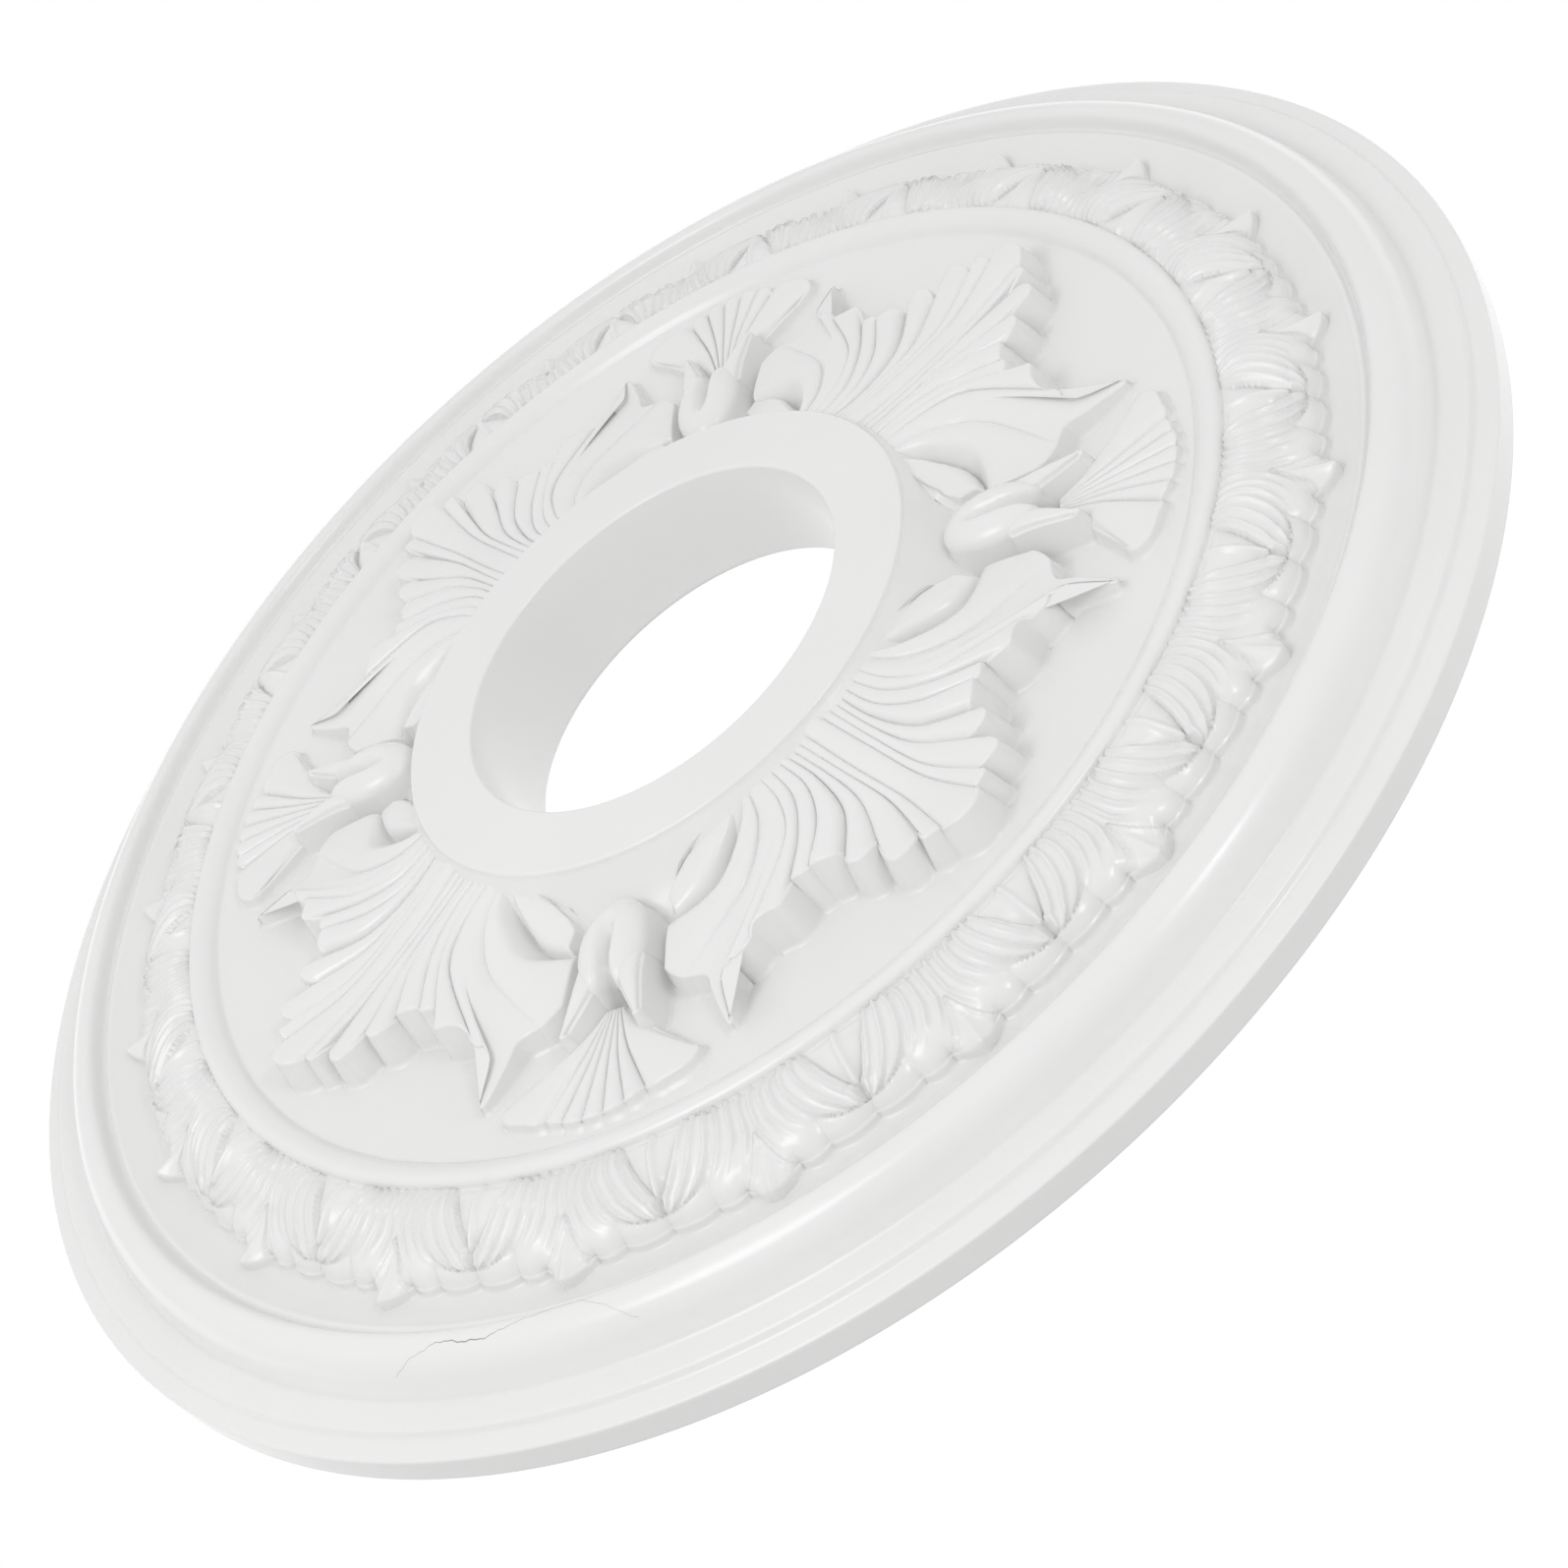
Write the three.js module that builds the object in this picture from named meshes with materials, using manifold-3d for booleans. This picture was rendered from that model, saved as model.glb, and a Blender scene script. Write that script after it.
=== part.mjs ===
// A round ceiling rose: one moulded casting with a hole through its middle, hung with its carved side down.
// It is modelled with the carving up and turned over at the end, so its flat back is the plane z = 0.
import * as THREE from "three";
import { mergeVertices } from "three/addons/utils/BufferGeometryUtils.js";
import Module from "manifold-3d";

const wasm = await Module();
wasm.setup();

// Sizes in millimetres, heights measured from the back.
const OUTER_RADIUS = 205;
const HOLE_RADIUS_BACK = 51.3;
const HOLE_RADIUS_FRONT = 52.3;
const COLLAR_RADIUS = 70.6;
const COLLAR_HEIGHT = 30;
const DISH_RADIUS = 94;
const DISH_HEIGHT = 14;
const BEAD_INNER_FOOT = [139.6, 19.0];
const BEAD_CREST = [[143.6, 21.9], [146.1, 22.0]];
const BEAD_OUTER_FOOT = [147.2, 20.3];
const EDGE_HEIGHT = 7.4;
const TURN_STEPS = 32;

// Points of the turned face, as distance from the middle and height: where the dish falls away from the
// collar, and the long slope outside the step.
const DISH_FALL = [[72.3, 25], [76, 19.8], [83, 15.5]];

// The outer moulding: a valley behind the leaf band, a rounded moulding, a flat, a step down and the rim.
const VALLEY = [[166.4, 11.2], [169.5, 11.4], [179.2, 15.5]];
const ROUND_MOULDING = [[181.3, 19.1], [184.3, 19.3], [188.5, 16.6], [192.1, 9.8]];
const RIM_STEP = [[199.2, 9.9], [200.3, 8.2]];

// The wreath of small leaves on the rounded slope behind the bead. Radius and height down the slope,
// for a lobe and for the pointed dart between two leaves.
const BAND_UNITS = 21;
const BAND_START = THREE.MathUtils.degToRad(0.5);
const BAND_ROOT = [[146.4, 19.9], [146.0, 10]];
const LOBE_SLOPE = [[152.5, 21.7], [162.6, 18.4], [167.6, 13.1]];
const DART_SLOPE = [[152.5, 20.8], [162.6, 17.3], [172.8, 16.5]];
const NOTCH_DEPTH = 1.1;
const NOTCH_SHARES = [0.4, 0.8, 1];
const BAND_FOOT_SPREAD = 1.2;
// One small leaf and its dart, as shares of a repeat.
const BAND_PLACES = ["dart", "notch", "lobe", "notch", "lobe", "notch"];
const BAND_SHARES = [0, 0.13, 0.31, 0.5, 0.69, 0.87];

// The carving stands on the dish. Its sides reach below the dish's surface.
const QUADRANTS = 4;
const CARVING_BOTTOM = 9;
const WALL_SLOPE = 0.25;
const NOTCH_SLOPE = 0.06;
const LEAF_STEPS = 3;
const PALMETTE_STEPS = 2;

// Half a leaf and its scroll, as lines from the collar out to the leaf's edge, in order from the middle.
// Each gives its points, across and out from the middle of the rose and up. A crest rises between creases.
const LEAF_LINES = [
  { kind: "crest", points: [[0, 69.6, 28.6], [0, 88, 25.4], [0, 110, 24], [0, 131.6, 27.4]] },
  { kind: "narrow", points: [[2.6, 69.5, 27.2], [2.9, 88, 24.2], [3.1, 108, 22.8], [5.4, 126, 25]] },
  { kind: "narrow", points: [[3.9, 69.5, 27.6], [4, 88, 24.9], [4.6, 107, 23.8], [9.2, 125.8, 26.4]] },
  { kind: "narrow", points: [[5, 69.4, 26.9], [4.9, 87, 24.2], [5.2, 104, 22.6], [7.8, 118.4, 22.8]] },
  { kind: "narrow", points: [[6.1, 69.3, 27.4], [6.2, 86, 25], [7.6, 104, 24], [15.8, 122.2, 25.6]] },
  { kind: "narrow", points: [[7.1, 69.2, 26.7], [7, 84, 24.2], [8.4, 97, 22.9], [13.4, 109.6, 22.6]] },
  { kind: "crest", points: [[8, 69.1, 27.1], [7.8, 83, 25], [10.8, 97.5, 24.4], [20.2, 112.8, 25.8]] },
  { kind: "crease", points: [[9, 69, 26.6], [9, 82, 24.2], [12.2, 95.4, 22.8], [19.6, 105, 22.4]] },
  { kind: "crest", points: [[10, 68.9, 27.4], [10.4, 82, 26], [14.8, 94.4, 25.8], [23.6, 104.2, 26.2]] },
  { kind: "crease", points: [[11, 68.7, 26.8], [11.8, 81.4, 25], [17.2, 92, 24.2], [26.4, 100.8, 24.8]] },
  { kind: "crest", points: [[12, 68.6, 27.2], [13.4, 81.4, 26], [19.8, 92, 25.8], [29, 100.8, 25.6]] },
  { kind: "crease", points: [[13.2, 68.3, 26.8], [15.4, 80.8, 25.4], [22, 91, 24.8], [31, 98.6, 24]] },
  { kind: "crest", points: [[14.6, 68, 27.3], [17, 80.4, 26.6], [24, 90.8, 26.4], [37.8, 102.2, 25.6]] },
  { kind: "crease", points: [[16, 67.7, 26.9], [18.4, 79.8, 25.7], [26, 90.6, 24.8], [45.8, 98.8, 22.8]] },
  { kind: "crest", points: [[17, 67.5, 27.2], [20.2, 79.2, 26.4], [29.6, 89.8, 25.8], [51.8, 98.2, 23.2]] },
  { kind: "plain", points: [[17.6, 67.3, 27.1], [21.2, 78.9, 26.3], [31.6, 89.6, 25.4], [57, 100.4, 21.8]] },
  { kind: "plain", points: [[18.1, 67.2, 27], [22.1, 78.6, 26.1], [33.2, 89.2, 25], [62.6, 109.2, 19.8]] },
  { kind: "plain", points: [[18.6, 67.1, 26.8], [23, 78.3, 25.8], [34.8, 88.6, 24.6], [59.4, 99.2, 20.2]] },
  { kind: "plain", points: [[19, 67, 26.6], [23.8, 78, 25.4], [36, 87.6, 24], [57, 93.4, 20.4]] },
  { kind: "crease", points: [[19.4, 66.8, 26.4], [24.6, 77.6, 24.8], [37.2, 86, 22.9], [59.6, 88.2, 20.5]] },
  { kind: "crest", points: [[19.9, 66.7, 26.8], [25.6, 75.9, 26], [38.8, 82.2, 24.1], [61, 81.2, 20.9]] },
  { kind: "plain", points: [[20.4, 66.5, 26.6], [26.8, 73.8, 25.6], [40.2, 78.4, 23], [53.6, 72.6, 21]] },
  { kind: "crease", points: [[20.9, 66.4, 26.2], [29.5, 71, 19.5], [41.2, 73.8, 17.6], [51.2, 71, 18.8]] },
  { kind: "crest", points: [[21.4, 66.2, 26.6], [30.5, 69.2, 25.4], [41.2, 69.8, 23.6], [48.8, 69.4, 21.8]] },
  { kind: "plain", points: [[21.8, 66, 26.4], [30.2, 65.7, 25.4], [39.6, 64.8, 24], [47.6, 66.6, 22.2]] },
];

// The palmette between two leaves: a fan with a curled lobe at each side, a pod and two petals.
const FAN_LINES = [
  { kind: "narrow", points: [[0, 106, 18.9], [0, 120, 20.2], [0, 135.6, 21.2]] },
  { kind: "narrow", points: [[0.5, 106, 18], [1.3, 120, 18.8], [2.6, 134.2, 19.4]] },
  { kind: "narrow", points: [[0.8, 106, 18.9], [2.6, 120, 20.2], [5.4, 135.2, 21.2]] },
  { kind: "narrow", points: [[1.1, 106, 18], [3.7, 119.5, 18.8], [7.8, 133.2, 19.4]] },
  { kind: "narrow", points: [[1.4, 106, 18.9], [4.8, 119, 20.2], [10.4, 133.6, 21.2]] },
  { kind: "narrow", points: [[1.7, 106, 18], [5.8, 118, 18.6], [12.2, 130.6, 19]] },
  { kind: "crest", points: [[2, 106, 18.8], [7.4, 118, 20.2], [17.5, 131.6, 21]] },
  { kind: "plain", points: [[2.2, 106, 18.8], [8.4, 116, 20], [23.5, 129.4, 20.8]] },
  { kind: "plain", points: [[2.4, 106, 18.4], [9, 114.5, 19.6], [25, 125.5, 20]] },
  { kind: "crease", points: [[2.6, 106, 17.8], [9.4, 113, 18.4], [21, 122.6, 19]] },
];
const PETAL_LINES = [
  { kind: "crest", points: [[5.5, 96, 24.4], [6.5, 103, 24.6], [9.6, 112.6, 23.6]] },
  { kind: "crease", points: [[8.4, 96, 22.6], [8.8, 102, 23.0], [10.2, 111, 22.8]] },
];
const POD_CENTRE = 91;
const POD_HALF_WIDTH = 9.2;
const POD_HALF_LENGTH = 13.5;
const POD_TOP = 27;
const POD_FOOT = 21;
const POD_STEPS = 10;
// Shares of the pod's half width, and how far below its top each lies.
const POD_RINGS = [[0.8, 2.2], [0.45, 0.6], [0, 0]];

function solidFrom(positions, faces) {
  const mesh = new wasm.Mesh({
    numProp: 3,
    vertProperties: new Float32Array(positions),
    triVerts: new Uint32Array(faces),
  });
  return new wasm.Manifold(mesh);
}

function solidFromGeometry(geometry) {
  geometry.deleteAttribute("normal");
  geometry.deleteAttribute("uv");
  const merged = mergeVertices(geometry, 1e-4);
  return solidFrom(merged.attributes.position.array, merged.index.array);
}

// The points of a line, from the collar outward, on a smooth curve through its given points.
function linePoints({ points }, steps) {
  const plan = new THREE.SplineCurve(points.map(([x, y]) => new THREE.Vector2(x, y)));
  const rise = new THREE.SplineCurve(points.map(([, , z], k) => new THREE.Vector2(k, z)));
  const result = [];
  for (let k = 0; k <= steps; k += 1) {
    const { x, y } = plan.getPoint(k / steps);
    result.push(new THREE.Vector3(x, y, rise.getPoint(k / steps).y));
  }
  return result;
}

// A line between a crest and a crease, bowed out so that the lobe has a round end and a round top.
function shoulderPoints(crest, crease) {
  const share = Math.SQRT1_2;
  return crest.map((top, k) => {
    const next = crest[Math.min(k + 1, crest.length - 1)];
    const previous = crest[Math.max(k - 1, 0)];
    const along = new THREE.Vector2(next.x - previous.x, next.y - previous.y).normalize();
    const apart = new THREE.Vector2(crease[k].x - top.x, crease[k].y - top.y);
    const lengthwise = apart.dot(along);
    const sideways = apart.clone().addScaledVector(along, -lengthwise);
    return new THREE.Vector3(
      top.x + sideways.x * share + along.x * lengthwise * (1 - share),
      top.y + sideways.y * share + along.y * lengthwise * (1 - share),
      top.z + (crease[k].z - top.z) * 0.3,
    );
  });
}

// All the lines of half a piece of carving, with the bowed ones put in.
function halfSheet(list, steps) {
  const lines = list.map((line) => linePoints(line, steps));
  const result = [lines[0]];
  for (let i = 1; i < list.length; i += 1) {
    const before = list[i - 1];
    const after = list[i];
    if (before.kind === "crest" && after.kind === "crease") {
      result.push(shoulderPoints(lines[i - 1], lines[i]));
    } else if (after.kind === "crest" && before.kind === "crease") {
      result.push(shoulderPoints(lines[i], lines[i - 1]));
    }
    result.push(lines[i]);
  }
  return result;
}

function mirroredLine(line) {
  return line.map(({ x, y, z }) => new THREE.Vector3(-x, y, z));
}

// A closed solid under a sheet of lines that run side by side, with sloping sides round its edge.
function solidUnder(lines) {
  const rows = lines.length;
  const columns = lines[0].length;
  const at = (i, k) => i * columns + k;
  const edge = [];
  for (let k = 0; k < columns; k += 1) {
    edge.push(at(0, k));
  }
  for (let i = 1; i < rows; i += 1) {
    edge.push(at(i, columns - 1));
  }
  for (let k = columns - 2; k >= 0; k -= 1) {
    edge.push(at(rows - 1, k));
  }
  for (let i = rows - 2; i > 0; i -= 1) {
    edge.push(at(i, 0));
  }
  const top = lines.flat();
  const bottom = top.map(({ x, y }) => new THREE.Vector3(x, y, CARVING_BOTTOM));
  edge.forEach((index, n) => {
    const before = top[edge[(n + edge.length - 1) % edge.length]];
    const after = top[edge[(n + 1) % edge.length]];
    const outward = new THREE.Vector2(before.y - after.y, after.x - before.x).normalize();
    const here = top[index];
    const turn = (here.x - before.x) * (after.y - here.y) - (here.y - before.y) * (after.x - here.x);
    const slope = turn > 0 ? NOTCH_SLOPE : WALL_SLOPE;
    const spread = (here.z - CARVING_BOTTOM) * slope;
    bottom[index].x += outward.x * spread;
    bottom[index].y += outward.y * spread;
  });
  const count = top.length;
  const faces = [];
  for (let i = 0; i + 1 < rows; i += 1) {
    for (let k = 0; k + 1 < columns; k += 1) {
      const quad = [at(i, k), at(i + 1, k), at(i + 1, k + 1), at(i, k + 1)];
      const [a, b, c, d] = quad;
      faces.push(a, b, c, a, c, d);
      faces.push(count + a, count + c, count + b, count + a, count + d, count + c);
    }
  }
  edge.forEach((index, n) => {
    const next = edge[(n + 1) % edge.length];
    faces.push(index, next, count + next, index, count + next, count + index);
  });
  const positions = [...top, ...bottom].flatMap((point) => point.toArray());
  return solidFrom(positions, faces);
}

function symmetricSheet(list, steps) {
  const half = halfSheet(list, steps);
  const other = half.slice(1).reverse().map(mirroredLine);
  return solidUnder([...other, ...half]);
}

function petals() {
  const [crest, outer] = PETAL_LINES.map((line) => linePoints(line, PALMETTE_STEPS));
  const inner = outer.map((point, k) => new THREE.Vector3(2 * crest[k].x - point.x, point.y, point.z));
  const right = [inner, crest, outer];
  const left = [...right].reverse().map(mirroredLine);
  return solidUnder(right).add(solidUnder(left));
}

// The pod is an egg-shaped lobe: rings of an ellipse, steep below and rounded above.
function pod() {
  const rings = [
    [1.0 + (POD_FOOT - CARVING_BOTTOM) * WALL_SLOPE / POD_HALF_WIDTH, CARVING_BOTTOM],
    [1.0, POD_FOOT],
    ...POD_RINGS.map(([share, drop]) => [share, POD_TOP - drop]),
  ];
  const profile = [[0, CARVING_BOTTOM], ...rings].map(([radius, height]) => new THREE.Vector2(radius, height));
  const geometry = new THREE.LatheGeometry(profile, POD_STEPS);
  geometry.rotateX(Math.PI / 2);
  geometry.scale(POD_HALF_WIDTH, POD_HALF_LENGTH, 1);
  geometry.translate(0, POD_CENTRE, 0);
  return solidFromGeometry(geometry);
}

// The plain turned body, from the hole's back edge round by the face to the back.
function turnedBody() {
  const points = [[HOLE_RADIUS_BACK, 0]];
  points.push([HOLE_RADIUS_FRONT, COLLAR_HEIGHT]);
  points.push([COLLAR_RADIUS, COLLAR_HEIGHT]);
  points.push(...DISH_FALL, [DISH_RADIUS, DISH_HEIGHT]);
  const [dishEdge, dishTop] = BEAD_INNER_FOOT;
  for (const s of [0.7, 1]) {
    const radius = DISH_RADIUS + (dishEdge - DISH_RADIUS) * s;
    points.push([radius, DISH_HEIGHT + (dishTop - DISH_HEIGHT) * s ** 1.7]);
  }
  points.push(...BEAD_CREST, BEAD_OUTER_FOOT);
  points.push(...VALLEY, ...ROUND_MOULDING, ...RIM_STEP);
  points.push([OUTER_RADIUS, EDGE_HEIGHT], [OUTER_RADIUS, 0]);
  points.push(points[0]);
  const profile = points.map(([radius, height]) => new THREE.Vector2(radius, height)).reverse();
  const body = new THREE.LatheGeometry(profile, TURN_STEPS);
  body.rotateX(Math.PI / 2);
  return solidFromGeometry(body);
}

// The leaf band, falling outward, with notches between its lobes and pointed darts that reach past them.
function leafBand() {
  const steps = BAND_UNITS * BAND_PLACES.length;
  const sections = [];
  for (let k = 0; k < steps; k += 1) {
    const unit = Math.floor(k / BAND_PLACES.length);
    const place = BAND_PLACES[k % BAND_PLACES.length];
    const share = BAND_SHARES[k % BAND_PLACES.length];
    const angle = BAND_START + ((unit + share) / BAND_UNITS) * 2 * Math.PI;
    const depth = place === "notch" ? NOTCH_DEPTH : 0;
    const slope = place === "dart" ? DART_SLOPE : LOBE_SLOPE;
    const top = slope.map(([radius, height], i) => [
      radius - (i === slope.length - 1 ? depth : 0),
      height - depth * NOTCH_SHARES[i],
    ]);
    const outer = top[top.length - 1][0];
    const ring = [[outer + BAND_FOOT_SPREAD, CARVING_BOTTOM], ...top.reverse(), ...BAND_ROOT];
    sections.push(ring.map(([radius, height]) => (
      new THREE.Vector3(radius * Math.cos(angle), radius * Math.sin(angle), height)
    )));
  }
  const size = sections[0].length;
  const positions = sections.flat().flatMap((point) => point.toArray());
  const faces = [];
  for (let k = 0; k < steps; k += 1) {
    for (let i = 0; i < size; i += 1) {
      const a = k * size + i;
      const b = k * size + ((i + 1) % size);
      const c = ((k + 1) % steps) * size + ((i + 1) % size);
      const d = ((k + 1) % steps) * size + i;
      faces.push(a, c, b, a, d, c);
    }
  }
  return solidFrom(positions, faces);
}

function geometryOf(solid) {
  const { vertProperties, triVerts } = solid.getMesh();
  const geometry = new THREE.BufferGeometry();
  geometry.setAttribute("position", new THREE.BufferAttribute(vertProperties, 3));
  geometry.setIndex(new THREE.BufferAttribute(triVerts, 1));
  return geometry;
}

let casting = turnedBody().add(leafBand());
const leaf = symmetricSheet(LEAF_LINES, LEAF_STEPS);
const palmette = symmetricSheet(FAN_LINES, PALMETTE_STEPS).add(petals()).add(pod());
for (let k = 0; k < QUADRANTS; k += 1) {
  const turn = (k * 360) / QUADRANTS;
  casting = casting.add(leaf.rotate([0, 0, turn]));
  casting = casting.add(palmette.rotate([0, 0, turn + 45]));
}

const material = new THREE.MeshStandardMaterial({ color: 0xf1f1ef, roughness: 0.3, metalness: 0 });
const rose = new THREE.Mesh(geometryOf(casting), material);
rose.name = "ceiling_rose";
rose.rotation.x = Math.PI;

const part = new THREE.Group();
part.add(rose);
export default part;
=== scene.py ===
"""A white moulded ceiling rose, hung with its carved side down."""

import math

import bpy
import numpy as np
from mathutils import Matrix, Vector


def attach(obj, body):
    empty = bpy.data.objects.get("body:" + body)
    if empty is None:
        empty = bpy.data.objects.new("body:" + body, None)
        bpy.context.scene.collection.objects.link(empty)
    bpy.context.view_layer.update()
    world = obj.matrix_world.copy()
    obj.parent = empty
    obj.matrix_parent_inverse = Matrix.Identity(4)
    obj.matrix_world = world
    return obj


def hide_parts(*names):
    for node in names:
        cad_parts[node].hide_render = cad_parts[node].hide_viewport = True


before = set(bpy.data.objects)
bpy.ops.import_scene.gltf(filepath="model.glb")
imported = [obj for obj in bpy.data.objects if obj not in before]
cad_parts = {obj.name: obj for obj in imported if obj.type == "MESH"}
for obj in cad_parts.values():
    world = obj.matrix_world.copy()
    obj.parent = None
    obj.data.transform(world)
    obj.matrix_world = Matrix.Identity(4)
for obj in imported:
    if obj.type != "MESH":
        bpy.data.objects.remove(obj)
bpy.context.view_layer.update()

bl_info = {
    "name": "Ceiling rose",
    "version": (1, 0, 0),
    "blender": (4, 5, 0),
    "location": "View3D > Sidebar > Rose",
    "description": "Builds a moulded ceiling rose with leaves, palmettes and a leaf band",
    "category": "Object",
}

NODE = "ceiling_rose"
MM = 0.001

# The turned face in millimetres. Pairs are distance from the middle and height from the back.
OUTER_RADIUS = 205.0
HOLE_RADIUS_BACK = 51.3
HOLE_RADIUS_FRONT = 52.3
COLLAR_RADIUS = 70.6
COLLAR_HEIGHT = 30.0
DISH_RADIUS = 94.0
DISH_HEIGHT = 14.0
BEAD = ((139.6, 18.9), (141.2, 20.7), (143.6, 21.9), (145.3, 22.15), (146.7, 21.5), (147.3, 20.3))
VALLEY = ((166.4, 11.2), (170.0, 11.5), (173.4, 12.9), (176.9, 14.8))
THIN_LINE = ((177.5, 15.25), (178.1, 15.5), (178.7, 15.4), (179.1, 15.1), (179.6, 15.2))
ROUND_MOULDING = ((179.9, 15.8), (181.0, 18.5), (182.6, 19.45), (184.6, 19.2), (187.2, 17.9), (189.4, 15.4),
                  (190.9, 12.3), (192.2, 10.0))
RIM = ((193.4, 9.75), (196.0, 9.8), (198.6, 9.95), (199.1, 9.85), (199.4, 9.5), (199.8, 8.7), (200.2, 8.3),
       (200.8, 8.15), (202.6, 7.95), (204.2, 7.6))
TURN_STEPS = 360

# The sides of the carving: how far they lean out, and how round they are at the top and the foot.
WALL_SLOPE = 0.25
TOP_ROUND = 0.7
FOOT_ROUND = 1.4

# Half a leaf and its scroll, as lines from the collar out to the leaf's edge, in order from the middle.
# Each holds its kind and its points: across, out from the middle of the rose, and up.
LEAF_LINES = (
    ("crest", (0, 69.6, 28.6), (0, 88, 25.4), (0, 110, 24), (0, 131.6, 27.4)),
    ("crease", (2.6, 69.5, 27.2), (2.9, 88, 24.2), (3.1, 108, 22.8), (5.4, 126, 25)),
    ("crest", (3.9, 69.5, 27.6), (4, 88, 24.9), (4.6, 107, 23.8), (9.2, 125.8, 26.4)),
    ("crease", (5, 69.4, 26.9), (4.9, 87, 24.2), (5.2, 104, 22.6), (7.8, 118.4, 22.8)),
    ("crest", (6.1, 69.3, 27.4), (6.2, 86, 25), (7.6, 104, 24), (15.8, 122.2, 25.6)),
    ("crease", (7.1, 69.2, 26.7), (7, 84, 24.2), (8.4, 97, 22.9), (13.4, 109.6, 22.6)),
    ("crest", (8, 69.1, 27.1), (7.8, 83, 25), (10.8, 97.5, 24.4), (20.2, 112.8, 25.8)),
    ("crease", (9, 69, 26.6), (9, 82, 24.2), (12.2, 95.4, 22.8), (19.6, 105, 22.4)),
    ("crest", (10, 68.9, 27.4), (10.4, 82, 26), (14.8, 94.4, 25.8), (23.6, 104.2, 26.2)),
    ("crease", (11, 68.7, 26.8), (11.8, 81.4, 25), (17.2, 92, 24.2), (26.4, 100.8, 24.8)),
    ("crest", (12, 68.6, 27.2), (13.4, 81.4, 26), (19.8, 92, 25.8), (29, 100.8, 25.6)),
    ("crease", (13.2, 68.3, 26.8), (15.4, 80.8, 25.4), (22, 91, 24.8), (31, 98.6, 24)),
    ("crest", (14.6, 68, 27.3), (17, 80.4, 26.6), (24, 90.8, 26.4), (37.8, 102.2, 25.6)),
    ("crease", (16, 67.7, 26.9), (18.4, 79.8, 25.7), (26, 90.6, 24.8), (45.8, 98.8, 22.8)),
    ("crest", (17, 67.5, 27.2), (20.2, 79.2, 26.4), (29.6, 89.8, 25.8), (51.8, 98.2, 23.2)),
    ("plain", (17.6, 67.3, 27.1), (21.2, 78.9, 26.3), (31.6, 89.6, 25.4), (57, 100.4, 21.8)),
    ("plain", (18.1, 67.2, 27), (22.1, 78.6, 26.1), (33.2, 89.2, 25), (62.6, 109.2, 19.8)),
    ("plain", (18.6, 67.1, 26.8), (23, 78.3, 25.8), (34.8, 88.6, 24.6), (59.4, 99.2, 20.2)),
    ("plain", (19, 67, 26.6), (23.8, 78, 25.4), (36, 87.6, 24), (57, 93.4, 20.4)),
    ("crease", (19.4, 66.8, 26.4), (24.6, 77.6, 24.8), (37.2, 86, 22.9), (59.6, 88.2, 20.5)),
    ("crest", (19.9, 66.7, 26.8), (25.6, 75.9, 26), (38.8, 82.2, 24.1), (61, 81.2, 20.9)),
    ("plain", (20.4, 66.5, 26.6), (26.8, 73.8, 25.6), (40.2, 78.4, 23), (53.6, 72.6, 21)),
    ("crease", (20.9, 66.4, 26.2), (29.5, 71, 19.5), (41.2, 73.8, 17.6), (51.2, 71, 18.8)),
    ("crest", (21.4, 66.2, 26.6), (30.5, 69.2, 25.4), (41.2, 69.8, 23.6), (48.8, 69.4, 21.8)),
    ("plain", (21.8, 66, 26.4), (30.2, 65.7, 25.4), (39.6, 64.8, 24), (47.6, 66.6, 22.2)),
)

# Half of a palmette's fan: its ribs, and the lobe curled at its side.
FAN_LINES = (
    ("crest", (0, 106, 18.9), (0, 120, 20.2), (0, 135.6, 21.2)),
    ("crease", (0.5, 106, 18), (1.3, 120, 18.8), (2.6, 134.2, 19.4)),
    ("crest", (0.8, 106, 18.9), (2.6, 120, 20.2), (5.4, 135.2, 21.2)),
    ("crease", (1.1, 106, 18), (3.7, 119.5, 18.8), (7.8, 133.2, 19.4)),
    ("crest", (1.4, 106, 18.9), (4.8, 119, 20.2), (10.4, 133.6, 21.2)),
    ("crease", (1.7, 106, 18), (5.8, 118, 18.6), (12.2, 130.6, 19)),
    ("crest", (2, 106, 18.8), (7.4, 118, 20.2), (17.5, 131.6, 21)),
    ("plain", (2.2, 106, 18.8), (8.4, 116, 20), (23.5, 129.4, 20.8)),
    ("plain", (2.4, 106, 18.4), (9, 114.5, 19.6), (25, 125.5, 20)),
    ("crease", (2.6, 106, 17.8), (9.4, 113, 18.4), (21, 122.6, 19)),
)
PETAL_LINES = (
    ("crease", (2.6, 96, 22.6), (4.2, 103, 23.0), (9.0, 112, 22.8)),
    ("crest", (5.5, 96, 24.4), (6.5, 103, 24.6), (9.6, 113, 23.6)),
    ("crease", (8.4, 96, 22.6), (8.8, 102, 23.0), (10.2, 112, 22.8)),
)
POD_CENTRE = 91.0
POD_HALF_WIDTH = 9.2
POD_HALF_LENGTH = 13.5
POD_TOP = 27.0
POD_SHOULDER = 21.0
POD_SIDE = ((1.1, 18.0), (1.2, 15.0), (1.32, 12.0))
POD_CREASE = 4.0
POD_NOTCH = 4.5

BAND_UNITS = 21
BAND_START = math.radians(0.5)
LOBE_SLOPE = ((147.2, 20.2), (149.6, 21.4), (153.5, 21.8), (158.0, 20.6), (162.6, 18.3), (165.8, 15.9),
              (167.4, 13.4))
DART_SLOPE = ((147.2, 20.1), (149.6, 21.0), (153.5, 21.0), (158.0, 19.2), (162.6, 17.5), (167.6, 16.8),
              (172.4, 16.6))
VALLEY_FLOOR = 11.3
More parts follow.
